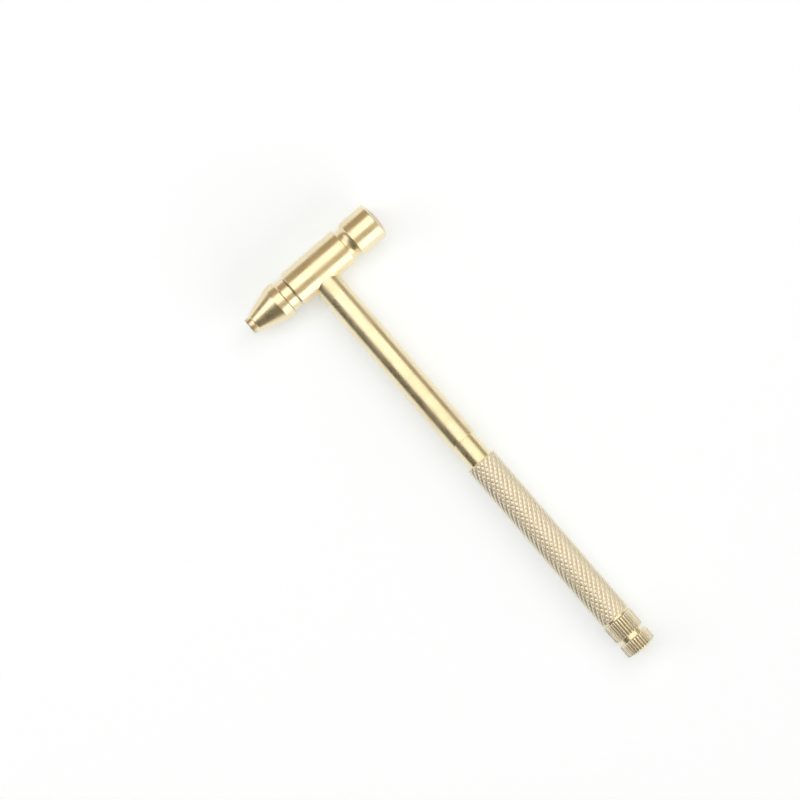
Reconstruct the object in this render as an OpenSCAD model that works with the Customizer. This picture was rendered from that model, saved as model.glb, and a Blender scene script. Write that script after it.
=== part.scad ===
// Small brass hammer whose hollow handle unscrews into four nested screwdrivers.
// The hammer lies flat: the handle runs along Y with the head at +Y, the head runs along X with the
// conical pein at -X and the crowned face at +X, and Z is up from the surface it lies on.
// Millimetres. The origin is the middle of the overall box, at the height of that surface.

/* [Head] */
// Length of the head, from the pein's tip to the top of the crowned face
head_len = 52; // [50:0.5:56]
// Diameter of the head's barrel, of the band behind the pein and of the face
head_d = 12.4; // [11.5:0.1:13]
// Diameter of the pein's flat tip
pein_tip_d = 5.3; // [3:0.1:6]
// Diameter at the small end of the pein's cone, where it stands proud of the tapered tip
pein_land_d = 6.3; // [5.3:0.1:7]
// Diameter of the turned neck between the pein and the barrel
pein_neck_d = 10.9; // [9.5:0.1:11.5]
// Diameter at the bottom of the hollow waist between the barrel and the face
face_groove_d = 10.1; // [9:0.1:11]
// Distance from the pein's tip to the handle's axis
handle_from_tip = 27.1; // [26:0.1:29]

/* [Handle] */
// Distance from the head's axis to the end of the handle
handle_len = 155.8; // [155.5:0.1:160]
// Outside diameter of the smooth handle tube
tube_d = 9.2; // [9:0.1:9.6]
// Diameter of the plain collars between the turned pieces
collar_d = 8.4; // [8.2:0.1:8.8]
// Diameter of the grip and of the fluted knobs
grip_d = 10.5; // [10.2:0.1:11]
// Number of flutes round each knob
flute_count = 32; // [24:1:40]

/* [Drivers] */
// Diameter of the large driver's steel shank
large_blade_d = 5; // [4.5:0.1:5.2]
// Diameter of the cross-tip driver's steel bit
cross_bit_d = 4; // [3.6:0.1:4.2]
// Diameter of the small driver's steel bit
small_blade_d = 2.8; // [2.4:0.1:3]
// Diameter of the fine driver's steel bit
fine_blade_d = 1.8; // [1.4:0.1:2]

/* [Hidden] */
$fn = 96;

brass = [0.80, 0.66, 0.36];
pale_brass = [0.78, 0.68, 0.44];
steel = [0.70, 0.71, 0.73];

over = 1;               // how far a cutter runs past the surface it opens
head_r = head_d / 2;
grip_r = grip_d / 2;
collar_r = collar_d / 2;
edge = 0.3;             // chamfer on the turned edges
fit_gap = 0.05;         // radial gap of a threaded pair, drawn as plain cylinders
store_gap = 0.3;        // radial gap of a driver's body in the bore that stores it

// Stations along the head, measured from the pein's tip towards the face
pein_land_end = 1.95;
pein_cone_start = 2.15;
pein_shoulder = 0.25;   // how far the cone stands proud of the tapered tip
pein_cone_end = 11.2;
pein_band_end = 13.9;
pein_neck_start = 14.25;
neck_groove_start = 17.2;
neck_groove_depth = 0.9;
barrel_start = 17.7;
barrel_end = 38.6;
waist_start = 38.9;
waist_hollow_start = 39.1;
face_start = 41.9;
face_corner_r = 0.7;    // rounded edge of the striking face
face_crown_r = 19;      // radius of the crowned striking face

// Stations along the handle, measured from the head's axis towards its end
tube_end = 69.8;
grip_start = 78.4;
grip_end = 142.5;
middle_start = 143.1;
middle_end = 149.2;
end_start = 150.8;
end_end = 155.1;

socket_depth = 1;       // how far the tube's socket passes the head's axis
tube_bore_r = 3.1;

// Threads: radius of the female bore, and how deep it runs in from its shoulder
large_thread_r = 3.75;
large_thread_len = 7.5;
middle_thread_r = 4;
middle_thread_len = 8;
end_thread_r = 3.2;
end_thread_len = 6.6;
tail_thread_r = 2.35;
tail_thread_len = 4.6;
relief = 0.7;           // width of the undercut where a thread meets its shoulder
relief_depth = 0.45;

// Bores that store the next driver: radius and the station of the closed end
grip_bore_r = 3.65;
grip_bore_end = 82;
middle_bore_r = 2.7;
middle_bore_end = 106;
end_bore_r = 1.8;
end_bore_end = 124;

// Noses of the brass bodies, and the stations where each steel piece starts and ends
large_shank_root = 78;
large_tip = 12;
large_taper = 15;
middle_nose = 96;
middle_nose_r = 2.7;
cross_root = 103.5;
cross_tip = 84;
end_nose = 115;
end_nose_r = 1.9;
small_root = 122;
small_tip = 108.5;
tail_nose = 138.5;
tail_nose_r = 1.25;
fine_root = 146;
fine_tip = 126.5;
nose_len = 3;

tail_cap_r = 4.5;
tail_slot_w = 1;
tail_slot_depth = 0.55;

axis_z = head_r;
head_y = (handle_len - head_r) / 2;
handle_x = handle_from_tip - head_len / 2;

// The head's frame: z runs from the pein's tip towards the face.
module head_frame() {
  translate([-head_len / 2, head_y, axis_z]) rotate([0, 90, 0]) children();
}

// The handle's frame: z runs from the head's axis towards the handle's end.
module handle_frame() {
  translate([handle_x, head_y, axis_z]) rotate([90, 0, 0]) children();
}

// A piece turned on the lathe from an outline of [radius, station] points.
module turned(outline) {
  rotate_extrude() polygon(outline);
}

// Points of an arc of radius r about [cx, cy], from angle a to angle b.
function arc(cx, cy, r, a, b, steps = 6) =
  [for (i = [0 : steps]) let (t = a + (b - a) * i / steps) [cx + r * cos(t), cy + r * sin(t)]];

// Outline of a threaded spigot: it starts at the tip station and ends at the shoulder,
// with an undercut there.
function spigot(r, tip, shoulder) = [
  [r - edge, tip], [r, tip + edge], [r, shoulder - relief],
  [r - relief_depth, shoulder - relief], [r - relief_depth, shoulder]
];

// Outline of a collar between a shoulder and a larger piece.
function collar(start, end) = [[collar_r - edge / 2, start], [collar_r, start + edge / 2], [collar_r, end]];

// Outline of a chamfered band of the grip's diameter.
function band(start, end, chamfer = edge) = [
  [grip_r - chamfer, start], [grip_r, start + chamfer], [grip_r, end - chamfer], [grip_r - chamfer, end]
];

// The waist's outline: a hollow curve that leaves the groove's bottom level and rises to the face's edge.
function hollow_waist() = let (
  low = face_groove_d / 2,
  length = face_start - waist_hollow_start,
  turn = 2 * atan((head_r - low) / length),
  r = length / sin(turn)
) arc(low + r, waist_hollow_start, r, 180, 180 - turn, 8);

// The face's outline, from its cylinder over the rounded edge to the crown's top.
function crowned_face() = let (
  c = face_corner_r,
  crown_z = head_len - face_crown_r,
  // the corner's centre lies inside both the cylinder and the crown by the corner's radius
  cx = head_r - c,
  tilt = asin(cx / (face_crown_r - c)),
  cz = crown_z + (face_crown_r - c) * cos(tilt)
) concat(
  arc(cx, cz, c, 0, 90 - tilt),
  [for (i = [1 : 6]) let (t = tilt * (1 - i / 6)) [face_crown_r * sin(t), crown_z + face_crown_r * cos(t)]]
);

module head() {
  color(brass) difference() {
    head_frame() turned(concat([
      [0, 0], [pein_tip_d / 2 - edge, 0], [pein_tip_d / 2, edge],
      [pein_land_d / 2 - pein_shoulder, pein_land_end], [pein_land_d / 2, pein_cone_start],
      [head_r, pein_cone_end], [head_r, pein_band_end],
      [pein_neck_d / 2, pein_neck_start], [pein_neck_d / 2, neck_groove_start],
      [pein_neck_d / 2 - neck_groove_depth, neck_groove_start],
      [pein_neck_d / 2 - neck_groove_depth, barrel_start],
      [head_r - edge, barrel_start], [head_r, barrel_start + edge],
      [head_r, barrel_end], [face_groove_d / 2, waist_start]
    ], hollow_waist(), crowned_face()));
    handle_frame() translate([0, 0, -socket_depth]) cylinder(d = tube_d, h = socket_depth + head_r + over);
  }
}

module handle_tube() {
  color(brass) handle_frame() turned([
    [tube_bore_r, -socket_depth], [tube_d / 2, -socket_depth],
    [tube_d / 2, tube_end - edge], [tube_d / 2 - edge, tube_end],
    [large_thread_r + edge, tube_end], [large_thread_r, tube_end - edge],
    [large_thread_r, tube_end - large_thread_len], [tube_bore_r, tube_end - large_thread_len]
  ]);
}

module grip() {
  thread_r = large_thread_r - fit_gap;
  tip = tube_end - large_thread_len + edge;
  color(pale_brass) handle_frame() turned(concat(
    [[large_blade_d / 2, tip]],
    spigot(thread_r, tip, tube_end),
    collar(tube_end, grip_start),
    band(grip_start, grip_end),
    [
      [middle_thread_r + edge, grip_end], [middle_thread_r, grip_end - edge],
      [middle_thread_r, grip_end - middle_thread_len], [grip_bore_r, grip_end - middle_thread_len],
      [grip_bore_r, grip_bore_end], [0, grip_bore_end - 1],
      [0, large_shank_root], [large_blade_d / 2, large_shank_root]
    ]
  ));
}

// A flat screwdriver: a round rod from root to tip, ground to a wedge over the taper's length.
module flat_blade(d, root, tip, taper, tip_thickness) {
  color(steel) handle_frame() intersection() {
    translate([0, 0, tip]) cylinder(d = d, h = root - tip);
    rotate([90, 0, 90]) linear_extrude(2 * d, center = true) polygon([
      [-tip_thickness / 2, tip], [tip_thickness / 2, tip],
      [d / 2 + edge, tip + taper], [d / 2 + edge, root + over],
      [-d / 2 - edge, root + over], [-d / 2 - edge, tip + taper]
    ]);
  }
}

module large_blade() {
  flat_blade(large_blade_d, large_shank_root, large_tip, large_taper, 0.9);
}

// Grooves that flute a knob from one station to another.
module flutes(start, end) {
  flute_r = PI * grip_d / flute_count / 3;
  for (i = [0 : flute_count - 1]) rotate(i * 360 / flute_count)
    translate([grip_r + flute_r * 0.35, 0, start - over])
      cylinder(r = flute_r, h = end - start + 2 * over, $fn = 24);
}

// A turned driver body that is fluted on its knob.
module fluted_body(outline, start, end) {
  difference() {
    turned(outline);
    intersection() {
      flutes(start, end);
      translate([0, 0, start]) difference() {
        cylinder(r = grip_r + over, h = end - start);
        translate([0, 0, -over]) cylinder(r = collar_r, h = end - start + 2 * over);
      }
    }
  }
}

module middle_knob() {
  thread_r = middle_thread_r - fit_gap;
  body_r = grip_bore_r - store_gap;
  color(brass) handle_frame() fluted_body(concat(
    [[cross_bit_d / 2, middle_nose], [middle_nose_r, middle_nose], [body_r, middle_nose + nose_len]],
    [[body_r, grip_end - middle_thread_len + edge]],
    spigot(thread_r, grip_end - middle_thread_len + edge, grip_end),
    collar(grip_end, middle_start),
    band(middle_start, middle_end),
    [
      [end_thread_r + edge, middle_end], [end_thread_r, middle_end - edge],
      [end_thread_r, middle_end - end_thread_len], [middle_bore_r, middle_end - end_thread_len],
      [middle_bore_r, middle_bore_end], [0, middle_bore_end - 1],
      [0, cross_root], [cross_bit_d / 2, cross_root]
    ]
  ), middle_start, middle_end);
}

// A cross-tip screwdriver: a round rod with a blunt cone, and four tapered notches between its wings.
module cross_bit() {
  point_r = 0.55;
  cone_len = 2.6;
  notch_len = 7;
  web_r = 0.5;
  rod_start = cross_tip + cone_len;
  color(steel) handle_frame() difference() {
    union() {
      translate([0, 0, cross_tip]) cylinder(r1 = point_r, r2 = cross_bit_d / 2, h = cone_len);
      translate([0, 0, rod_start]) cylinder(d = cross_bit_d, h = cross_root - rod_start);
    }
    for (side = [0 : 3]) rotate(45 + 90 * side) translate([web_r, 0, cross_tip - over])
      rotate([0, atan((cross_bit_d / 2 - web_r) / notch_len), 0]) rotate(-45)
        cube([cross_bit_d, cross_bit_d, 2 * notch_len]);
  }
}

module end_knob() {
  thread_r = end_thread_r - fit_gap;
  body_r = middle_bore_r - store_gap;
  color(brass) handle_frame() fluted_body(concat(
    [[small_blade_d / 2, end_nose], [end_nose_r, end_nose], [body_r, end_nose + nose_len]],
    [[body_r, middle_end - end_thread_len + edge]],
    spigot(thread_r, middle_end - end_thread_len + edge, middle_end),
    collar(middle_end, end_start),
    band(end_start, end_end),
    [
      [tail_thread_r + edge, end_end], [tail_thread_r, end_end - edge],
      [tail_thread_r, end_end - tail_thread_len], [end_bore_r, end_end - tail_thread_len],
      [end_bore_r, end_bore_end], [0, end_bore_end - 1],
      [0, small_root], [small_blade_d / 2, small_root]
    ]
  ), end_start, end_end);
}

module small_blade() {
  flat_blade(small_blade_d, small_root, small_tip, 5, 0.5);
}

// The domed button that closes the end knob and carries the finest blade, with a coin slot across it.
module tail_cap() {
  thread_r = tail_thread_r - fit_gap;
  body_r = end_bore_r - store_gap;
  rim = 0.1;
  rise = handle_len - end_end - rim;
  dome_r = (tail_cap_r * tail_cap_r + rise * rise) / (2 * rise);
  dome_half = asin(tail_cap_r / dome_r);
  color(brass) handle_frame() difference() {
    turned(concat(
      [[fine_blade_d / 2, tail_nose], [tail_nose_r, tail_nose], [body_r, tail_nose + nose_len]],
      [[body_r, end_end - tail_thread_len + edge]],
      spigot(thread_r, end_end - tail_thread_len + edge, end_end),
      [[tail_cap_r, end_end]],
      arc(0, handle_len - dome_r, dome_r, 90 - dome_half, 90),
      [[0, fine_root], [fine_blade_d / 2, fine_root]]
    ));
    translate([-tail_cap_r - over, -tail_slot_w / 2, handle_len - tail_slot_depth])
      cube([2 * (tail_cap_r + over), tail_slot_w, tail_slot_depth + over]);
  }
}

module fine_blade() {
  flat_blade(fine_blade_d, fine_root, fine_tip, 4, 0.35);
}

head();
handle_tube();
grip();
large_blade();
middle_knob();
cross_bit();
end_knob();
small_blade();
tail_cap();
fine_blade();
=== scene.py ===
import math
from collections import namedtuple

import bmesh
import bpy
import numpy as np
from mathutils import Matrix, Vector


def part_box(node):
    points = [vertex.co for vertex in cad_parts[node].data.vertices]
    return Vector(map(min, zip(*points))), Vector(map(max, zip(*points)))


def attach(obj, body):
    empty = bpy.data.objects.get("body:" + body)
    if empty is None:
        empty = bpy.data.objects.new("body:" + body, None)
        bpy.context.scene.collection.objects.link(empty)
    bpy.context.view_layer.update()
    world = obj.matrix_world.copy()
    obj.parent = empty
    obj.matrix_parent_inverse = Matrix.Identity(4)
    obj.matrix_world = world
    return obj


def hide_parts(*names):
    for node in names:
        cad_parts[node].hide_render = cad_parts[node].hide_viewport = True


# Small brass hammer with nested screwdrivers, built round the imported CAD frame.
# Lengths in the outlines are millimetres; everything Blender gets is metres.

MM = 0.001

# Mesh density and patterns
PLAIN = 192            # points round a turned piece
FINE = 96              # points round a thread or a small bore
ALONG = 24             # mesh steps along the barrel
FLUTES = 32
FLUTED = FLUTES * 12   # points round a fluted knob
STARTS = 19            # grooves of the diamond knurl in each direction
CELL = 8               # mesh steps across one knurl diamond
KNURLED = STARTS * CELL
KNURL_PERIOD = 2.34    # length of one knurl diamond along the grip
EASE = 0.09            # rounding of a broken edge

# Values of the relief attribute, which tells the materials what kind of surface a point is on.
# A cut surface runs from 0 in its valleys to 1 on its crests.
TURNED = 1.5           # plain turned surface
STRUCK = 0.0           # the head's two working ends
CREVICE = -1.5         # bottom of the head's narrow groove

# The CAD's own sizes, which the meshes repeat. Stations run along the head from the pein's tip ...
HEAD_LEN = 52.0
HEAD_R = 6.2
HANDLE_AT = 27.1       # where the handle stands on the head
BARREL_START, BARREL_END = 17.9, 38.5

# ... and along the handle from the head's axis
SOCKET_DEPTH = 1.0
TUBE_R, COLLAR_R, GRIP_R = 4.6, 4.2, 5.25
TUBE_END = 69.8
GRIP_START, GRIP_END = 78.4, 142.5
MIDDLE_START, MIDDLE_END = 143.1, 149.2
END_START, END_END = 150.8, 155.1
HANDLE_END = 155.8

# Bores: radius, and the station of the full bore's end
TUBE_BORE_R = 3.1
GRIP_BORE_R, GRIP_BORE_END = 3.65, 82.0
MIDDLE_BORE_R, MIDDLE_BORE_END = 2.7, 106.0
END_BORE_R, END_BORE_END = 1.8, 124.0
STORE_GAP = 0.3        # radial gap of a driver's body in the bore that stores it

# Steel pieces: radius, and the stations of the tip and the root
LARGE_R, LARGE_TIP, LARGE_ROOT = 2.5, 12.0, 78.0
CROSS_R, CROSS_TIP, CROSS_ROOT = 2.0, 84.0, 103.5
SMALL_R, SMALL_TIP, SMALL_ROOT = 1.4, 108.5, 122.0
FINE_R, FINE_TIP, FINE_ROOT = 0.9, 126.5, 146.0

# Screwed seams, named after the piece that holds the female thread: its length and radius, the pitch,
# and how deep each half is cut
Screw = namedtuple("Screw", "length radius pitch male_depth female_depth")
TUBE_SCREW = Screw(7.5, 3.75, 0.75, 0.36, 0.33)
GRIP_SCREW = Screw(8.0, 4.0, 0.75, 0.36, 0.33)
MIDDLE_SCREW = Screw(6.6, 3.2, 0.6, 0.28, 0.26)
END_SCREW = Screw(4.6, 2.35, 0.5, 0.22, 0.2)
THREAD_GAP = 0.05      # radial gap of a threaded pair
LEAD = 0.3             # chamfer at the mouth of a female thread
UNDERCUT, UNDERCUT_DEPTH = 0.7, 0.45    # neck between a male thread and its shoulder: length and depth
KNURL_FOOT_R = GRIP_R - 0.7    # outermost plain ring on the flat ends of the knurled band
FLUTE_FOOT_R = GRIP_R - 0.5    # the same on a fluted band

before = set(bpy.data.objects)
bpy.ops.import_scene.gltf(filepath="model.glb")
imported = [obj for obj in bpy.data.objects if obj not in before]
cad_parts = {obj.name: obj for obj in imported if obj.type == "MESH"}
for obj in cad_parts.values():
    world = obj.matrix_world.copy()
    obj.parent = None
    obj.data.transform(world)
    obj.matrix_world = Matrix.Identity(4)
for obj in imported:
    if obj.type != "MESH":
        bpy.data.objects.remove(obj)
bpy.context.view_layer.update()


# ---------------------------------------------------------------- placing

def head_place():
    """Head frame: z runs from the pein's tip to the crowned face."""
    lo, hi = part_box("head")
    return Matrix((
        (0, 0, 1, lo.x),
        (0, 1, 0, (lo.y + hi.y) / 2),
        (-1, 0, 0, (lo.z + hi.z) / 2),
        (0, 0, 0, 1)))


def handle_place():
    """Handle frame: z runs from the head's axis to the handle's end."""
    tube_lo, tube_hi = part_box("handle_tube")
    head_lo, head_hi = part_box("head")
    return Matrix((
        (1, 0, 0, (tube_lo.x + tube_hi.x) / 2),
        (0, 0, -1, (head_lo.y + head_hi.y) / 2),
        (0, 1, 0, (head_lo.z + head_hi.z) / 2),
        (0, 0, 0, 1)))


HEAD = head_place()
HANDLE = handle_place()


# ---------------------------------------------------------------- meshes

def eased(outline, ease=EASE, steps=4):
    """The outline with its corners rounded. A point is (station, radius) or (station, radius, rounding)."""
    largest_share, flattest = 0.42, 0.05
    plain = [Vector(p[:2]) for p in outline]
    out = [plain[0]]
    for i in range(1, len(plain) - 1):
        here = plain[i]
        before, after = plain[i - 1] - here, plain[i + 1] - here
        own = outline[i][2] if len(outline[i]) > 2 else ease
        reach = min(own, largest_share * before.length, largest_share * after.length)
        if reach < 1e-4 or before.angle(-after) < flattest:
            out.append(here)
            continue
        a, b = here + before.normalized() * reach, here + after.normalized() * reach
        for k in range(steps + 1):
            t = k / steps
            out.append(a * (1 - t) ** 2 + here * 2 * t * (1 - t) + b * t ** 2)
    out.append(plain[-1])
    return out


def ring(station, radius, count=PLAIN, phase=0.0):
    """One ring: (points, phase, relief). radius is a number or count numbers; radius 0 makes a pole."""
    if isinstance(radius, (int, float)) and radius < 1e-9:
        return np.array([[0.0, 0.0, station]]), 0.0, np.full(1, TURNED)
    angle = (np.arange(count) + phase) * 2 * math.pi / count
    radii = np.broadcast_to(np.asarray(radius, float), (count,))
    points = np.stack([radii * np.cos(angle), radii * np.sin(angle), np.full(count, float(station))], 1)
    return points, phase, np.full(count, TURNED)


def turned(outline, count=PLAIN, ease=EASE):
    """Rings of a plain turned surface."""
    return [ring(p[0], p[1], count) for p in eased(outline, ease)]


def stitch(a, na, pa, b, nb, pb):
    """Faces between two rings of na and nb points that start at a and b, with phases pa and pb."""
    if na == 1 and nb == 1:
        return []
    if na == 1:
        return [(a, b + (j + 1) % nb, b + j) for j in range(nb)]
    if nb == 1:
        return [(a + i, a + (i + 1) % na, b) for i in range(na)]
    if na == nb and pa == pb:
        return [(a + i, a + (i + 1) % na, b + (i + 1) % na, b + i) for i in range(na)]
    faces, i, j = [], 0, 0
    while i < na or j < nb:
        next_a, next_b = (i + 1 + pa) / na, (j + 1 + pb) / nb
        if j >= nb or (i < na and next_a <= next_b + 1e-9):
            faces.append((a + i % na, a + (i + 1) % na, b + j % nb))
            i += 1
        else:
            faces.append((a + i % na, b + (j + 1) % nb, b + j % nb))
            j += 1
    return faces


def loft(rings, closed=False):
    """Joins rings into one skin: (points, faces, relief). closed joins the last ring to the first."""
    points, faces, relief, starts = [], [], [], []
    total = 0
    for at, _, height in rings:
        starts.append(total)
        points.append(at)
        relief.append(height)
        total += len(at)
    pairs = [(k, k + 1) for k in range(len(rings) - 1)] + ([(len(rings) - 1, 0)] if closed else [])
    for k, m in pairs:
        faces += stitch(starts[k], len(rings[k][0]), rings[k][1], starts[m], len(rings[m][0]), rings[m][1])
    return np.concatenate(points), faces, np.concatenate(relief)


def make(name, skin, place, body, material, sharp_deg=38):
    """A named piece from a skin in millimetres, shaded smooth with its sharp edges kept."""
    points, faces, relief = skin
    mesh = bpy.data.meshes.new(name)
    world = (np.asarray(points) * MM) @ np.array(place.to_3x3()).T + np.array(place.translation)
    mesh.from_pydata(world.tolist(), [], faces)
    heights = mesh.attributes.new("relief", "FLOAT", "POINT")
    heights.data.foreach_set("value", np.asarray(relief, np.float32))
    tidy_mesh(mesh, sharp_deg)
    piece = bpy.data.objects.new(name, mesh)
    bpy.context.scene.collection.objects.link(piece)
    mesh.materials.append(material)
    weighted = piece.modifiers.new("weighted", "WEIGHTED_NORMAL")
    weighted.keep_sharp = True
    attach(piece, body)
    return piece


def tidy_mesh(mesh, sharp_deg):
    """Merges doubled points, turns every face outwards and marks the sharp edges."""
    bm = bmesh.new()
    bm.from_mesh(mesh)
    bmesh.ops.remove_doubles(bm, verts=bm.verts, dist=2e-7)
    bmesh.ops.dissolve_degenerate(bm, edges=bm.edges, dist=1e-8)
    bmesh.ops.recalc_face_normals(bm, faces=bm.faces)
    limit = math.radians(sharp_deg)
    for face in bm.faces:
        face.smooth = True
    for edge in bm.edges:
        edge.smooth = len(edge.link_faces) == 2 and edge.calc_face_angle(0) < limit
    bm.to_mesh(mesh)
    bm.free()


# ---------------------------------------------------------------- surface forms

def thread(start, end, crest, depth, pitch, outward, count=FINE):
    """Rings of a right-hand screw thread. outward says that it is female, cut outwards from its crest."""
    rings_per_turn, flank, flatness, fade_in = 9, 0.4, 1.25, 0.6 * pitch
    rows = max(8, int(round((end - start) / pitch * rings_per_turn)))
    turns = np.arange(count) / count
    rings = []
    for k in range(rows + 1):
        z = start + (end - start) * k / rows
        u = (z / pitch - turns) % 1.0
        groove = np.minimum(np.clip(1 - np.abs(u - 0.5) / flank, 0, 1) * flatness, 1.0)
        fade = min(1.0, (z - start) / fade_in, (end - z) / fade_in)
        cut = depth * groove * fade
        points, phase, _ = ring(z, crest + cut if outward else crest - cut, count)
        rings.append((points, phase, 1 - groove * fade))
    return rings


def fluted_band(start, end, chamfer=0.35, depth=0.38, valley=0.66):
    """Rings of a straight-fluted knob: flat-topped ridges that run into a chamfer at each end. valley is the
    share of a flute's pitch that is cut away."""
    away = np.abs((np.arange(FLUTED) * FLUTES / FLUTED) % 1.0 - 0.5) * 2
    groove = np.clip(1 - away / valley, 0, 1)
    groove = groove * groove * (3 - 2 * groove)
    roundness, edge_steps = 1.4, [0.0, 0.08, 0.16, 0.24, 0.32, 0.42]
    span = end - start
    stations = edge_steps + [0.3 * span, 0.5 * span, 0.7 * span] + [span - d for d in reversed(edge_steps)]
    rings = []
    for d in stations:
        edge = min(d, span - d)
        limit = GRIP_R - chamfer * max(0.0, 1 - edge / chamfer) ** roundness
        radius = np.minimum(GRIP_R - depth * groove, limit)
        points, phase, _ = ring(start + d, radius, FLUTED)
        rings.append((points, phase, np.clip(1 - groove, 0, 1)))
    return rings


def knurled_band(start, end, depth=0.28, chamfer=0.25):
    """Rings of a diamond knurl whose mesh lines run along both sets of grooves."""
    # the second pass of the knurling wheel bites wider and deeper than the first
    first_width, second_width, first_share = 0.28, 0.36, 0.6
    rows = int(round((end - start) / KNURL_PERIOD * CELL)) * 2
    row_h = (end - start) / rows
    lattice = np.arange(KNURLED)
    rings = []
    for t in range(rows + 1):
        phase = 0.5 * (t % 2)
        s = 2 * lattice + (t % 2)
        a, b = (s + t) / (2 * CELL), (s - t) / (2 * CELL)
        away_a, away_b = np.abs(a - np.round(a)), np.abs(b - np.round(b))
        first, second = np.clip(away_a / first_width, 0, 1), np.clip(away_b / second_width, 0, 1)
        height = np.minimum(second, 1 - first_share * (1 - first))
        z = start + t * row_h
        edge = min(z - start, end - z)
        limit = GRIP_R - max(0.0, chamfer - edge)
        radius = np.minimum(GRIP_R - depth * (1 - height), limit)
        points, _, _ = ring(z, radius, KNURLED, phase)
        rings.append((points, phase, height))
    return rings


# ---------------------------------------------------------------- head

def saddle_patch(start, end, centre):
    """The half of the barrel that faces the handle, with the round mouth of the handle's socket in it, and
    the socket itself. Returns (points, faces)."""
    turn = np.linspace(-math.pi / 2, math.pi / 2, PLAIN // 2 + 1)
    steps = [(end - start) * k / ALONG for k in range(1, ALONG)]
    rim = [(start, t) for t in turn] + [(start + d, math.pi / 2) for d in steps]
    rim += [(end, t) for t in turn[::-1]] + [(end - d, -math.pi / 2) for d in steps]
    ways = [math.atan2(angle * HEAD_R, station - centre) for station, angle in rim]
    broken_edge = 0.02
    mouth_r = TUBE_R + broken_edge
    rings, crowding = 16, 1.5
    rows = []
    for k in range(rings + 1):
        t = (k / rings) ** crowding
        row = []
        for (station, angle), way in zip(rim, ways):
            z0 = centre + mouth_r * math.cos(way)
            a0 = math.asin(mouth_r * math.sin(way) / HEAD_R)
            z, a = z0 + (station - z0) * t, a0 + (angle - a0) * t
            row.append((HEAD_R * math.sin(a), -HEAD_R * math.cos(a), z))
        rows.append(row)
    bottom = [(TUBE_R * math.sin(way), SOCKET_DEPTH, centre + TUBE_R * math.cos(way)) for way in ways]
    lip = [(x, broken_edge - math.sqrt(HEAD_R ** 2 - (mouth_r * math.sin(way)) ** 2), z)
           for (x, _, z), way in zip(bottom, ways)]
    rows = [bottom, lip] + rows
    n = len(rim)
    points = [(0.0, SOCKET_DEPTH, centre)] + [p for row in rows for p in row]
    faces = [(0, 1 + i, 1 + (i + 1) % n) for i in range(n)]
    for k in range(len(rows) - 1):
        a, b = 1 + k * n, 1 + (k + 1) * n
        faces += [(a + i, b + i, b + (i + 1) % n, a + (i + 1) % n) for i in range(n)]
    return points, faces


def barrel_back(start, end):
    """The half of the barrel that faces away from the handle. Returns (points, faces)."""
    half = PLAIN // 2
    points, faces = [], []
    for z in np.linspace(start, end, ALONG + 1):
        points += [(HEAD_R * math.cos(a), HEAD_R * math.sin(a), z) for a in np.linspace(0, math.pi, half + 1)]
    for k in range(ALONG):
        a = k * (half + 1)
        faces += [(a + i, a + i + 1, a + half + 2 + i, a + half + 1 + i) for i in range(half)]
    return points, faces


def pein_outline(neck_r, groove_start, groove_end):
    """From the middle of the pein's flat tip over its cone, band, neck and narrow groove to the barrel."""
    tip_r, land_r, groove_r = 2.65, 3.15, neck_r - 0.9
    land_end, cone_start, cone_end, band_end, neck_start = 1.95, 2.15, 11.2, 13.9, 14.25
    return eased([
        (0, 0), (0, tip_r, 0.35), (land_end, land_r - 0.25, 0.08), (cone_start, land_r, 0.08),
        (cone_end, HEAD_R, 0.4), (band_end, HEAD_R, 0.12), (neck_start, neck_r, 0.14),
        (groove_start - 0.05, neck_r, 0.05), (groove_start, groove_r, 0.05), (groove_end, groove_r, 0.05),
        (groove_end + 0.04, HEAD_R - 0.2, 0.08), (BARREL_START, HEAD_R)])


def face_outline():
    """From the barrel over the hollow waist and the face's rounded corner to the middle of its crown."""
    barrel_edge, waist_start, hollow_start, face_start = 38.6, 38.9, 39.1, 41.9
    waist_r, crown_r, corner_r = 5.05, 19.0, 0.7
    tilt = math.asin((HEAD_R - corner_r) / (crown_r - corner_r))
    corner_z = HEAD_LEN - crown_r + (crown_r - corner_r) * math.cos(tilt)
    turn = 2 * math.atan((HEAD_R - waist_r) / (face_start - hollow_start))
    bend_r = (face_start - hollow_start) / math.sin(turn)
    waist = [(hollow_start + bend_r * math.sin(a), waist_r + bend_r * (1 - math.cos(a)))
             for a in np.linspace(0, turn, 12)]
    side = eased([(BARREL_END, HEAD_R), (barrel_edge, HEAD_R, 0.1), (waist_start, waist_r, 0.12)]
                 + waist + [(corner_z, HEAD_R)])
    corner = [(corner_z + corner_r * math.sin(a), HEAD_R - corner_r + corner_r * math.cos(a))
              for a in np.linspace(0, math.pi / 2 - tilt, 8)[1:]]
    crown = [(HEAD_LEN - crown_r + crown_r * math.cos(a), crown_r * math.sin(a))
             for a in np.linspace(tilt, 0, 14)[1:-1]]
    return side + corner + crown + [(HEAD_LEN, 0.0)]


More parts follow.
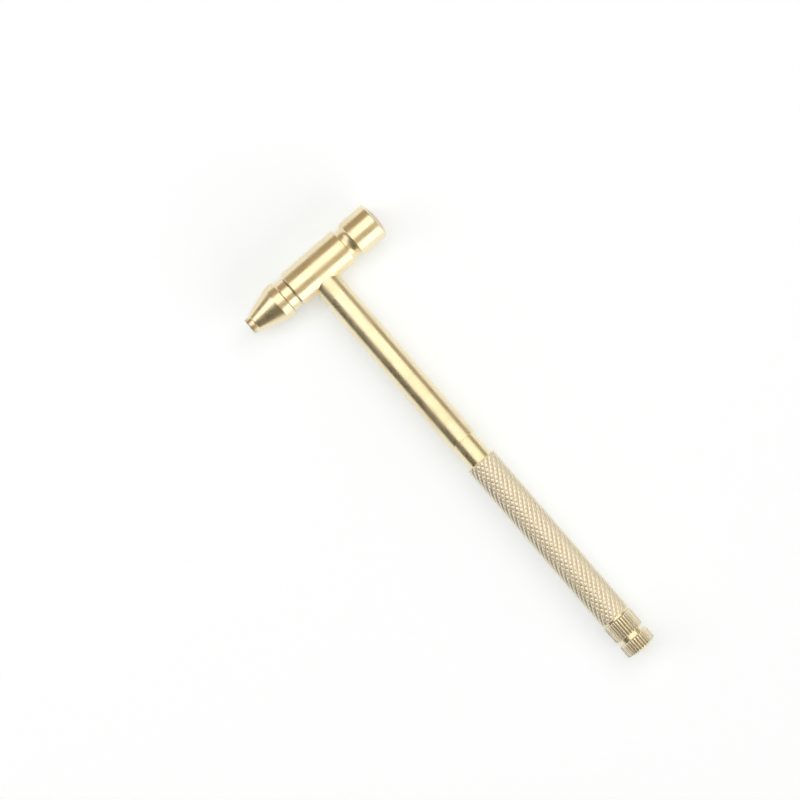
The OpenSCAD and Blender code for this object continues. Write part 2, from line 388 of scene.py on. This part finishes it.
def head(material):
    """The turned brass head: pein, neck, barrel with the handle's socket, waist and crowned face."""
    neck_r, groove_start, groove_end = 5.45, 17.2, 17.62
    skins = [loft([ring(z, r) for z, r in outline])[:2]
             for outline in (pein_outline(neck_r, groove_start, groove_end), face_outline())]
    skins += [barrel_back(BARREL_START, BARREL_END), saddle_patch(BARREL_START, BARREL_END, HANDLE_AT)]
    points, faces = [], []
    for skin_points, skin_faces in skins:
        base = len(points)
        points += [tuple(p) for p in skin_points]
        faces += [tuple(i + base for i in f) for f in skin_faces]
    stations = np.array([p[2] for p in points])
    radii = np.array([math.hypot(p[0], p[1]) for p in points])
    pein_reach, face_reach = 0.45, 0.95
    near = np.maximum(1 - stations / pein_reach, 1 - (HEAD_LEN - stations) / face_reach)
    struck = np.clip(3 * near, 0, 1)    # fades out over the last third of each reach
    relief = TURNED + (STRUCK - TURNED) * struck
    # The bottom of the narrow groove gets the CREVICE value, which the head's material paints dark as shade.
    margin = 0.1
    along_groove = (stations > groove_start - margin) & (stations < groove_end + margin)
    relief[along_groove & (radii < neck_r - margin)] = CREVICE
    piece = make("brass_head", (points, faces, relief), HEAD, "hammer", material)
    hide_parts("head")


# ---------------------------------------------------------------- handle

def spigot(body, seat, screw, edge=0.05):
    """Rings of a driver's body, then of the male thread that ends at the seat. edge rounds the body's end."""
    r, tip = screw.radius - THREAD_GAP, seat - screw.length + LEAD
    lead_in = [(tip, body[-1][1], edge), (tip, r - 0.35, 0.05), (tip + 0.25, r - 0.1)]
    first_turn, last_turn = tip + 0.3, seat - UNDERCUT - 0.1
    male_thread = thread(first_turn, last_turn, r, screw.male_depth, screw.pitch, False)
    return turned(body + lead_in, FINE) + male_thread


def undercut(seat, screw):
    """Outline of the narrow neck between a male thread and its shoulder."""
    r = screw.radius - THREAD_GAP - UNDERCUT_DEPTH
    return [(seat - UNDERCUT, r), (seat, r, 0.05)]


def collar(seat, start, screw, foot_r, edges=(0.1, 0.1)):
    """Rings from a male thread's undercut over the plain collar to the foot of the cut band."""
    outline = [(seat, COLLAR_R, edges[0]), (start, COLLAR_R, edges[1]), (start, foot_r)]
    return turned(undercut(seat, screw) + outline)


def female_thread(end, screw):
    """Rings of a female thread from its mouth inwards."""
    innermost, outermost = end - screw.length + 0.1, end - LEAD - 0.05
    return thread(innermost, outermost, screw.radius, screw.female_depth, screw.pitch, True)[::-1]


def open_end(end, screw, foot_r, bore_r, bore_end, lead=LEAD):
    """Rings of a driver's open end: chamfered mouth, female thread and the next driver's bore."""
    bottom, drill_point = end - screw.length, 1
    rings = turned([(end, foot_r), (end, screw.radius + lead, 0.05), (end - LEAD, screw.radius)], FINE)
    rings += female_thread(end, screw)
    return rings + turned([(bottom, screw.radius), (bottom, bore_r, 0.05), (bore_end, bore_r, 0.1),
                           (bore_end - drill_point, 0)], FINE)


def slim_body(root, bit_r, nose, nose_r, body_r, edges):
    """Outline of a stored driver's body: the socket of its bit and the nose that widens to the body."""
    nose_len = 3.0
    return [(root, 0), (root, bit_r), (nose, bit_r, edges[0]), (nose, nose_r, edges[1]),
            (nose + nose_len, body_r, edges[2])]


def handle_tube(material):
    """The smooth tube that stands in the head's socket, with the grip's thread cut inside its open end."""
    screw, end = TUBE_SCREW, TUBE_END
    rings = turned([(-SOCKET_DEPTH, TUBE_BORE_R), (-SOCKET_DEPTH, TUBE_R, 0.05), (end, TUBE_R, 0.12),
                    (end, screw.radius + LEAD, 0.05), (end - LEAD, screw.radius)])
    rings += female_thread(end, screw)
    rings += [ring(end - screw.length, screw.radius), ring(end - screw.length, TUBE_BORE_R)]
    piece = make("handle_tube_brass", loft(rings, closed=True), HANDLE, "hammer", material)
    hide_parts("handle_tube")


def grip(material):
    """The knurled grip: threaded spigot, collar, diamond knurl and the bore that stores the next driver."""
    rings = spigot([(LARGE_ROOT, 0), (LARGE_ROOT, LARGE_R)], TUBE_END, TUBE_SCREW, edge=0.1)
    rings += collar(TUBE_END, GRIP_START, TUBE_SCREW, KNURL_FOOT_R, edges=(0.14, 0.12))
    rings += knurled_band(GRIP_START, GRIP_END)
    rings += open_end(GRIP_END, GRIP_SCREW, KNURL_FOOT_R, GRIP_BORE_R, GRIP_BORE_END, lead=0.35)
    piece = make("knurled_grip", loft(rings), HANDLE, "large_driver", material, sharp_deg=30)
    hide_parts("grip")


def middle_knob(material):
    """The fluted knob nearest the grip, with the hollow body that carries the cross-tip bit."""
    nose, nose_r, body_r = 96.0, 2.7, GRIP_BORE_R - STORE_GAP
    body = slim_body(CROSS_ROOT, CROSS_R, nose, nose_r, body_r, (0.1, 0.2, 0.4))
    rings = spigot(body, GRIP_END, GRIP_SCREW)
    rings += collar(GRIP_END, MIDDLE_START, GRIP_SCREW, FLUTE_FOOT_R)
    rings += fluted_band(MIDDLE_START, MIDDLE_END)
    rings += open_end(MIDDLE_END, MIDDLE_SCREW, FLUTE_FOOT_R, MIDDLE_BORE_R, MIDDLE_BORE_END)
    piece = make("middle_fluted_knob", loft(rings), HANDLE, "cross_driver", material)
    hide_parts("middle_knob")


def end_knob(material):
    """The last fluted knob, with its collar and the hollow body that carries the small flat bit."""
    nose, nose_r, body_r = 115.0, 1.9, MIDDLE_BORE_R - STORE_GAP
    body = slim_body(SMALL_ROOT, SMALL_R, nose, nose_r, body_r, (0.1, 0.15, 0.4))
    rings = spigot(body, MIDDLE_END, MIDDLE_SCREW)
    rings += collar(MIDDLE_END, END_START, MIDDLE_SCREW, FLUTE_FOOT_R, edges=(0.12, 0.1))
    rings += fluted_band(END_START, END_END)
    rings += open_end(END_END, END_SCREW, FLUTE_FOOT_R, END_BORE_R, END_BORE_END)
    piece = make("end_fluted_knob", loft(rings), HANDLE, "small_driver", material)
    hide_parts("end_knob")


def tail_cap(material):
    """The domed button with its coin slot, and the slim body that carries the finest blade."""
    seat, cap_r, rim = END_END, 4.5, 0.1
    slot_width, slot_depth = 1.0, 0.55
    nose, nose_r, body_r = 138.5, 1.25, END_BORE_R - STORE_GAP
    rise = HANDLE_END - seat - rim
    dome_r = (cap_r ** 2 + rise ** 2) / (2 * rise)
    dome_edge = math.asin(cap_r / dome_r) * 0.965    # angle at which the dome meets its broken edge
    body = slim_body(FINE_ROOT, FINE_R, nose, nose_r, body_r, (0.05, 0.1, 0.3))
    rings = spigot(body, seat, END_SCREW)
    button = [(seat, cap_r - 0.08, 0.04), (seat + rim, cap_r, 0.06), (seat + rim + 0.05, cap_r - 0.14)]
    rings += turned(undercut(seat, END_SCREW) + button, FINE)
    for a in np.linspace(dome_edge, 0, 14):
        rings.append(ring(HANDLE_END - dome_r + dome_r * math.cos(a), dome_r * math.sin(a), FINE))
    skin = cut_slot(loft(rings), slot_width, HANDLE_END - slot_depth)
    piece = make("domed_tail_cap", skin, HANDLE, "fine_driver", material)
    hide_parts("tail_cap")


def welded(name, points, faces):
    """A bare object from points in millimetres, with doubled points merged and its faces turned outwards."""
    mesh = bpy.data.meshes.new(name)
    mesh.from_pydata([tuple(p) for p in points], [], faces)
    bm = bmesh.new()
    bm.from_mesh(mesh)
    bmesh.ops.remove_doubles(bm, verts=bm.verts, dist=2e-4)
    bmesh.ops.recalc_face_normals(bm, faces=bm.faces)
    bm.to_mesh(mesh)
    bm.free()
    made = bpy.data.objects.new(name, mesh)
    bpy.context.scene.collection.objects.link(made)
    return made


def cut_slot(skin, width, floor):
    """Cuts a straight slot across the top of a skin, down to the floor's station."""
    body = welded("slot_body", skin[0], skin[1])
    x, y, top = 10.0, width / 2, floor + 5.0
    corners = [(i, j, k) for k in (floor, top) for j in (-y, y) for i in (-x, x)]
    sides = [(0, 1, 3, 2), (4, 5, 7, 6), (0, 1, 5, 4), (2, 3, 7, 6), (0, 2, 6, 4), (1, 3, 7, 5)]
    cutter = welded("slot_cutter", corners, sides)
    cut = body.modifiers.new("slot", "BOOLEAN")
    cut.operation, cut.object, cut.solver = "DIFFERENCE", cutter, "EXACT"
    done = bpy.data.meshes.new_from_object(body.evaluated_get(bpy.context.evaluated_depsgraph_get()))
    points = [tuple(v.co) for v in done.vertices]
    faces = [tuple(f.vertices) for f in done.polygons]
    for used in (body, cutter):
        bpy.data.objects.remove(used)
    return np.array(points), faces, np.ones(len(points))


# ---------------------------------------------------------------- blades

def blade_ring(station, radius, half):
    """Section of a rod of that radius ground flat on both sides to half the thickness."""
    half = min(half, radius * 0.999)
    lean = math.asin(half / radius)
    side, flat = 14, 8
    points = []
    for turn in (0, math.pi):
        arcs = [turn - lean + 2 * lean * k / side for k in range(side + 1)]
        points += [(radius * math.cos(a), radius * math.sin(a), station) for a in arcs]
        x, y = points[-1][:2]
        points += [(x * (1 - 2 * k / flat), y, station) for k in range(1, flat)]
    return np.array(points), 0.0, np.ones(len(points))


def pole(station):
    """The single point that closes the end of a blade."""
    return np.array([[0.0, 0.0, station]]), 0.0, np.ones(1)


def flat_blade(name, body, material, r, tip, root, taper, tip_thickness):
    """A flat screwdriver blade: a rod ground to a wedge, with its tip's edges broken."""
    edge, steps, past_round = 0.05, 24, 0.3
    half, full = tip_thickness / 2, r + past_round
    slope = (full - half) / taper
    rings = [pole(tip), blade_ring(tip, r - edge, half - edge)]
    for k in range(steps + 1):
        d = edge + (taper - edge) * k / steps
        rings.append(blade_ring(tip + d, r, half + slope * d))
    rings += [blade_ring(root, r, full), pole(root)]
    return make(name, loft(rings), HANDLE, body, material, sharp_deg=20)


def large_blade(material):
    """The widest flat blade, fixed in the grip's spigot."""
    piece = flat_blade("large_flat_blade", "large_driver", material, LARGE_R, LARGE_TIP, LARGE_ROOT,
                       taper=15.0, tip_thickness=0.9)
    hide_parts("large_blade")


def small_blade(material):
    """The flat blade of the end knob."""
    piece = flat_blade("small_flat_blade", "small_driver", material, SMALL_R, SMALL_TIP, SMALL_ROOT,
                       taper=5.0, tip_thickness=0.5)
    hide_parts("small_blade")


def fine_blade(material):
    """The finest flat blade, fixed in the tail cap."""
    piece = flat_blade("fine_flat_blade", "fine_driver", material, FINE_R, FINE_TIP, FINE_ROOT,
                       taper=4.0, tip_thickness=0.35)
    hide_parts("fine_blade")


def cross_ring(station, radius, web):
    """Section of the cross tip: a disc cut down to two crossed bars of half width web."""
    edge = min(math.asin(min(web / radius, 1.0)), math.radians(43.5))
    arc, flank, eighth = 5, 6, math.pi / 4
    first = [edge * k / arc for k in range(arc)] + [edge + (eighth - edge) * k / flank for k in range(flank)]
    quarter = first + [eighth] + [2 * eighth - a for a in reversed(first[1:])]
    points = []
    for turn in range(4):
        for a in quarter:
            r = min(radius, max(web / max(abs(math.sin(a)), 1e-9), web / max(abs(math.cos(a)), 1e-9)))
            way = turn * 2 * eighth + a
            points.append((r * math.cos(way), r * math.sin(way), station))
    return np.array(points), 0.0, np.ones(len(points))


def cross_bit(material):
    """The cross-tip bit: a rod with a blunt cone and four tapered notches."""
    tip, root, r = CROSS_TIP, CROSS_ROOT, CROSS_R
    point_r, cone = 0.55, 2.6
    web_start, web_len, first_web = tip - 1.0, 7.0, 0.5
    # sections behind the tip, closest together where the notches run out
    behind_tip = (0, 0.3, 0.8, 1.3, 1.8, 2.3, cone, 3.0, 3.6, 4.2, 4.8, 5.2, 5.6, 5.9, 6.1)
    rings = [pole(tip)]
    for d in behind_tip:
        radius = min(r, point_r + (r - point_r) * d / cone)
        web = (first_web + (tip + d - web_start) * (r - first_web) / web_len) / math.sqrt(2)
        rings.append(cross_ring(tip + d, radius, min(web, radius)))
    rings += [cross_ring(root, r, r), pole(root)]
    piece = make("cross_tip_bit", loft(rings), HANDLE, "cross_driver", material, sharp_deg=24)
    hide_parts("cross_bit")


# ---------------------------------------------------------------- materials

class Shader:
    """A material with one Principled shader, and short ways to make and join its nodes."""

    def __init__(self, name, axis, origin):
        self.material = bpy.data.materials.new(name)
        self.material.use_nodes = True
        self.tree = self.material.node_tree
        self.tree.nodes.clear()
        out = self.tree.nodes.new("ShaderNodeOutputMaterial")
        self.bsdf = self.tree.nodes.new("ShaderNodeBsdfPrincipled")
        self.join(self.bsdf.outputs[0], out.inputs[0])
        self.at = self.tree.nodes.new("ShaderNodeTexCoord").outputs["Object"]
        # station along the turned piece's axis, and distance from it
        shifted = self.vector("SUBTRACT", self.at, origin)
        self.station = self.vector("DOT_PRODUCT", shifted, axis, "Value")
        across = self.vector("MULTIPLY", shifted, [0 if a else 1 for a in axis])
        self.radius = self.vector("LENGTH", across, None, "Value")

    def join(self, a, b):
        self.tree.links.new(a, b)

    def put(self, value, socket):
        """Joins another node's output to the socket, or sets the socket to a plain value."""
        if isinstance(value, bpy.types.NodeSocket):
            self.join(value, socket)
        elif value is not None:
            socket.default_value = value

    def vector(self, operation, a, b, output="Vector"):
        node = self.tree.nodes.new("ShaderNodeVectorMath")
        node.operation = operation
        self.put(a, node.inputs[0])
        self.put(b, node.inputs[1])
        return node.outputs[output]

    def math(self, operation, a, b=None, clamp=False):
        node = self.tree.nodes.new("ShaderNodeMath")
        node.operation, node.use_clamp = operation, clamp
        self.put(a, node.inputs[0])
        self.put(b, node.inputs[1])
        return node.outputs[0]

    def noise(self, scale, at=None, detail=3.0, rough=0.55):
        """Noise with that many cells a metre; scale may be three numbers."""
        node = self.tree.nodes.new("ShaderNodeTexNoise")
        node.inputs["Scale"].default_value = 1.0
        node.inputs["Detail"].default_value = detail
        node.inputs["Roughness"].default_value = rough
        three = scale if hasattr(scale, "__len__") else (scale,) * 3
        self.join(self.vector("MULTIPLY", at or self.at, three), node.inputs["Vector"])
        return node.outputs["Fac"]

    def rings(self, cells):
        """Fine lines round the axis, as a lathe tool leaves them, on walls and end faces alike."""
        node = self.tree.nodes.new("ShaderNodeCombineXYZ")
        self.join(self.station, node.inputs[0])
        self.join(self.radius, node.inputs[1])
        return self.noise((cells, cells, 1.0), node.outputs[0], 2.0, 0.6)

    def spread(self, value, low, high, to_low, to_high):
        """Runs smoothly from to_low to to_high while the value goes from low to high."""
        node = self.tree.nodes.new("ShaderNodeMapRange")
        node.interpolation_type = "SMOOTHSTEP"
        self.join(value, node.inputs["Value"])
        for socket, number in zip(("From Min", "From Max", "To Min", "To Max"), (low, high, to_low, to_high)):
            self.put(number, node.inputs[socket])
        return node.outputs["Result"]

    def mix(self, factor, a, b):
        """The colour a where the factor is 0, b where it is 1. The node's colours are sockets 6, 7 and 2."""
        node = self.tree.nodes.new("ShaderNodeMix")
        node.data_type = "RGBA"
        self.put(factor, node.inputs["Factor"])
        for socket, colour in ((node.inputs[6], a), (node.inputs[7], b)):
            self.put((*colour, 1) if isinstance(colour, tuple) else colour, socket)
        return node.outputs[2]

    def bump(self, height, distance, strength, below=None):
        """Normals of a fine relief, laid over those of the relief below."""
        node = self.tree.nodes.new("ShaderNodeBump")
        node.inputs["Distance"].default_value = distance
        node.inputs["Strength"].default_value = strength
        self.join(height, node.inputs["Height"])
        if below is not None:
            self.join(below, node.inputs["Normal"])
        return node.outputs["Normal"]

    def relief(self):
        """The mesh's own relief attribute."""
        node = self.tree.nodes.new("ShaderNodeAttribute")
        node.attribute_name = "relief"
        return node.outputs["Fac"]

    def finish(self, colour, rough, normal):
        """Joins the three to the shader, makes it a metal and returns the material."""
        self.join(colour, self.bsdf.inputs["Base Color"])
        self.join(rough, self.bsdf.inputs["Roughness"])
        self.join(normal, self.bsdf.inputs["Normal"])
        self.bsdf.inputs["Metallic"].default_value = 1.0
        return self.material


def scratches(shader, cells=900, patches=130):
    """Sparse hairline scratches in two directions, from 0 to 1."""
    total = None
    for way in ((1.0, 0.10, 0.10), (0.12, 1.0, 0.12)):
        line = shader.noise(tuple(cells * w for w in way), None, 1.0, 0.4)
        off_centre = shader.math("ABSOLUTE", shader.math("SUBTRACT", line, 0.5))
        thin = shader.spread(off_centre, 0.0, 0.012, 1.0, 0.0)
        patch = shader.spread(shader.noise(patches / way[0]), 0.52, 0.66, 0.0, 1.0)
        one = shader.math("MULTIPLY", thin, patch)
        total = one if total is None else shader.math("MAXIMUM", total, one)
    return total


def polished_brass(name, axis, origin):
    """Turned and polished yellow brass with tool rings, faint tarnish, smudges and hairline scratches; its
    two striking ends are darker and rougher, and the bottom of the head's narrow groove is painted dark as
    shade.
    """
    clean, red, tarnished = (0.91, 0.81, 0.57), (0.88, 0.74, 0.48), (0.74, 0.61, 0.37)
    # groove_shade is the dark colour painted as shade into the bottom of the head's narrow groove.
    speck, dark_ends, groove_shade = (0.42, 0.30, 0.13), (0.56, 0.46, 0.31), (0.46, 0.38, 0.24)
    s = Shader(name, axis, origin)
    tarnish = s.spread(s.noise(95, detail=6.0, rough=0.62), 0.46, 0.74, 0.0, 0.42)
    cast = s.spread(s.noise(38, detail=2.0), 0.35, 0.7, 0.0, 0.35)
    specks = s.spread(s.noise(1500, detail=2.0), 0.70, 0.78, 0.0, 0.35)
    colour = s.mix(cast, clean, red)
    colour = s.mix(tarnish, colour, tarnished)
    colour = s.mix(specks, colour, speck)
    # The pein's flat tip and the crowned face are coloured darker, in blotches, and made rougher.
    struck = s.spread(s.relief(), STRUCK, TURNED - 0.1, 1.0, 0.0)
    end_blotches = s.spread(s.noise(260, detail=4.0), 0.3, 0.7, 0.7, 1.0)
    colour = s.mix(s.math("MULTIPLY", struck, end_blotches), colour, dark_ends)
    # Painted shade: the bottom of the head's narrow groove is painted dark, where shade would fall.
    colour = s.mix(s.spread(s.relief(), CREVICE, STRUCK, 1.0, 0.0), colour, groove_shade)
    hair = scratches(s)
    lines = s.rings(5200)
    smudge = s.noise(170, detail=5.0, rough=0.6)
    rough = s.math("ADD", s.spread(smudge, 0.35, 0.7, 0.25, 0.33), s.math("MULTIPLY", tarnish, 0.12))
    rough = s.math("ADD", rough, s.math("MULTIPLY", hair, 0.10))
    rough = s.math("ADD", rough, s.math("MULTIPLY", struck, 0.10))
    normal = s.bump(lines, 0.00003, 0.10)
    normal = s.bump(smudge, 0.0002, 0.03, normal)
    normal = s.bump(hair, 0.00001, 0.18, normal)
    return s.finish(colour, rough, normal)


def cut_brass(name, axis, origin, valley, crest, rough_valley, rough_crest):
    """Brass whose cut valleys are dull and painted dark as shade, in the colour valley, and whose crests are
    paler, in the colour crest. Its plain turned parts are smoother and yellower."""
    pale, yellow = (0.84, 0.75, 0.56), (0.91, 0.81, 0.55)
    s = Shader(name, axis, origin)
    relief = s.relief()
    blotch_noise = s.noise(420, detail=5.0, rough=0.6)
    # Painted shade: the colour runs from the dark valley colour in the cut valleys to the paler crest colour
    # on the crests, with a noisy edge.
    valley_shade_mask = s.math("ADD", relief, s.math("MULTIPLY", s.math("SUBTRACT", blotch_noise, 0.5), 0.35))
    colour = s.mix(s.spread(valley_shade_mask, 0.05, 0.75, 0.0, 1.0), valley, crest)
    cast = s.spread(s.noise(60, detail=4.0), 0.4, 0.7, 0.0, 0.4)
    colour = s.mix(s.math("MULTIPLY", cast, 0.5), colour, pale)
    fine = s.noise(5200, detail=3.0)
    cut_rough = s.spread(relief, 0.0, 0.9, rough_valley, rough_crest)
    cut_rough = s.math("ADD", cut_rough, s.math("MULTIPLY", blotch_noise, 0.08))
    plain = s.spread(relief, 1.1, TURNED - 0.1, 0.0, 1.0)
    colour = s.mix(plain, colour, yellow)
    smooth = s.spread(blotch_noise, 0.3, 0.7, 0.24, 0.32)
    cut_share = s.math("MULTIPLY", cut_rough, s.math("SUBTRACT", 1.0, plain))
    rough = s.math("ADD", cut_share, s.math("MULTIPLY", smooth, plain))
    normal = s.bump(s.rings(6500), 0.00003, 0.12)
    normal = s.bump(fine, 0.00003, 0.14, normal)
    return s.finish(colour, rough, normal)


def ground_steel(name, axis, origin):
    """Hardened tool steel: grinding lines across the blade, a blued cast and small oxide spots."""
    bright, blued, oxide = (0.56, 0.565, 0.58), (0.38, 0.375, 0.38), (0.20, 0.15, 0.11)
    s = Shader(name, axis, origin)
    lines = s.noise((700, 9000, 700), detail=2.0)
    patch = s.noise(240, detail=5.0, rough=0.6)
    colour = s.mix(s.spread(patch, 0.4, 0.7, 0.0, 0.6), bright, blued)
    colour = s.mix(s.spread(s.noise(1700, detail=2.0), 0.70, 0.80, 0.0, 0.6), colour, oxide)
    rough = s.spread(patch, 0.35, 0.7, 0.24, 0.38)
    return s.finish(colour, rough, s.bump(lines, 0.00003, 0.22))


# ---------------------------------------------------------------- studio

def floor():
    """A wide, plain white floor that glows a little, as a light table does."""
    sides, radius, glow = 96, 3.5, 0.29
    mesh = bpy.data.meshes.new("studio_floor")
    angles = [2 * math.pi * i / sides for i in range(sides)]
    rim = [(radius * math.cos(a), radius * math.sin(a), 0.0) for a in angles]
    mesh.from_pydata(rim, [], [tuple(range(sides))])
    made = bpy.data.objects.new("studio_floor", mesh)
    bpy.context.scene.collection.objects.link(made)
    material = bpy.data.materials.new("white_table")
    material.use_nodes = True
    shader = material.node_tree.nodes["Principled BSDF"]
    shader.inputs["Base Color"].default_value = (0.80, 0.88, 1.0, 1)
    shader.inputs["Roughness"].default_value = 0.9
    shader.inputs["Specular IOR Level"].default_value = 0.1
    shader.inputs["Emission Color"].default_value = (1, 1, 1, 1)
    shader.inputs["Emission Strength"].default_value = glow
    mesh.materials.append(material)


def softbox(name, at, target, size, radiance, colour):
    """A rectangular light of that radiance, aimed at the target."""
    light = bpy.data.lights.new(name, "AREA")
    light.shape = "RECTANGLE"
    light.size, light.size_y = size
    light.energy = radiance * math.pi * size[0] * size[1]
    light.color = colour
    made = bpy.data.objects.new(name, light)
    made.location = at
    made.rotation_mode = "QUATERNION"
    made.rotation_quaternion = (Vector(target) - Vector(at)).to_track_quat("-Z", "Y")
    bpy.context.scene.collection.objects.link(made)


def studio():
    """White floor, softboxes overhead, beyond the tail and on the pein's side, and dim warm walls."""
    floor()
    softbox("overhead", (0.60, 0.66, 1.8), (0.60, 0.66, 0), (3.5, 1.7), 1.15, (1.0, 0.99, 0.97))
    softbox("tail_side", (0.65, -1.7, 0.80), (0.65, 0.0, 0.80), (2.4, 1.6), 1.5, (1.0, 0.99, 0.98))
    softbox("pein_side", (-1.20, 0.85, 1.05), (0, 0, 0.0), (1.0, 1.0), 1.5, (1.0, 0.99, 0.96))
    walls()


def walls():
    """Dim warm surroundings: dark on the pein's side, paler on the face's side and high beyond the tail."""
    dim, dark, pale, high = (0.42, 0.32, 0.20), (0.115, 0.10, 0.07), (0.40, 0.345, 0.245), (0.52, 0.445, 0.31)
    world = bpy.data.worlds.new("studio_walls")
    bpy.context.scene.world = world
    world.use_nodes = True
    tree = world.node_tree
    link = tree.links.new
    background = tree.nodes["Background"]
    at = tree.nodes.new("ShaderNodeTexCoord").outputs["Generated"]

    def towards(direction, low, high):
        dot = tree.nodes.new("ShaderNodeVectorMath")
        dot.operation = "DOT_PRODUCT"
        link(at, dot.inputs[0])
        dot.inputs[1].default_value = Vector(direction).normalized()
        ramp = tree.nodes.new("ShaderNodeMapRange")
        ramp.interpolation_type = "SMOOTHSTEP"
        link(dot.outputs["Value"], ramp.inputs["Value"])
        ramp.inputs["From Min"].default_value, ramp.inputs["From Max"].default_value = low, high
        return ramp.outputs["Result"]

    def blend(factor, a, b):
        mix = tree.nodes.new("ShaderNodeMix")
        mix.data_type = "RGBA"
        link(factor, mix.inputs["Factor"])
        for socket, value in ((mix.inputs[6], a), (mix.inputs[7], b)):
            if isinstance(value, tuple):
                socket.default_value = (*value, 1)
            else:
                link(value, socket)
        return mix.outputs[2]

    colour = blend(towards((-1, -0.1, 0.25), 0.25, 0.75), dim, dark)
    colour = blend(towards((1, 0, 0.3), 0.5, 0.8), colour, pale)
    colour = blend(towards((0, -0.45, 0.9), 0.80, 0.95), colour, high)
    link(colour, background.inputs["Color"])


def camera():
    """Straight above, turned so that the handle runs down to the right."""
    turn, past_head, aside = math.radians(-40.815), 0.0477, 0.0066
    distance, view_width, sensor = 1.1, 0.2490, 36.0
    data = bpy.data.cameras.new("camera")
    data.sensor_width = sensor
    data.lens = sensor * distance / view_width
    made = bpy.data.objects.new("camera", data)
    above = HANDLE.translation + Vector((-aside, -past_head, distance))
    made.matrix_world = Matrix.Translation(above) @ Matrix.Rotation(turn, 4, "Z")
    bpy.context.scene.collection.objects.link(made)
    bpy.context.scene.camera = made


# ---------------------------------------------------------------- build

ALONG_HEAD, ALONG_HANDLE = (1, 0, 0), (0, 1, 0)
head_brass = polished_brass("polished_brass_head", ALONG_HEAD, tuple(HEAD.translation))
tube_brass = polished_brass("polished_brass_handle", ALONG_HANDLE, tuple(HANDLE.translation))
# The first colour given to cut_brass is painted shade for the cut valleys, darker on the deeper flutes; the
# second is the crests' paler tone.
knurl_brass = cut_brass("knurled_brass", ALONG_HANDLE, tuple(HANDLE.translation),
                        (0.77, 0.70, 0.55), (0.96, 0.90, 0.75), 0.46, 0.38)
flute_brass = cut_brass("fluted_brass", ALONG_HANDLE, tuple(HANDLE.translation),
                        (0.50, 0.43, 0.31), (0.95, 0.89, 0.73), 0.34, 0.20)
steel = ground_steel("blade_steel", ALONG_HANDLE, tuple(HANDLE.translation))

head(head_brass)
handle_tube(tube_brass)
grip(knurl_brass)
middle_knob(flute_brass)
end_knob(flute_brass)
tail_cap(tube_brass)
large_blade(steel)
cross_bit(steel)
small_blade(steel)
fine_blade(steel)

studio()
camera()
bpy.context.scene.view_settings.view_transform = "Standard"
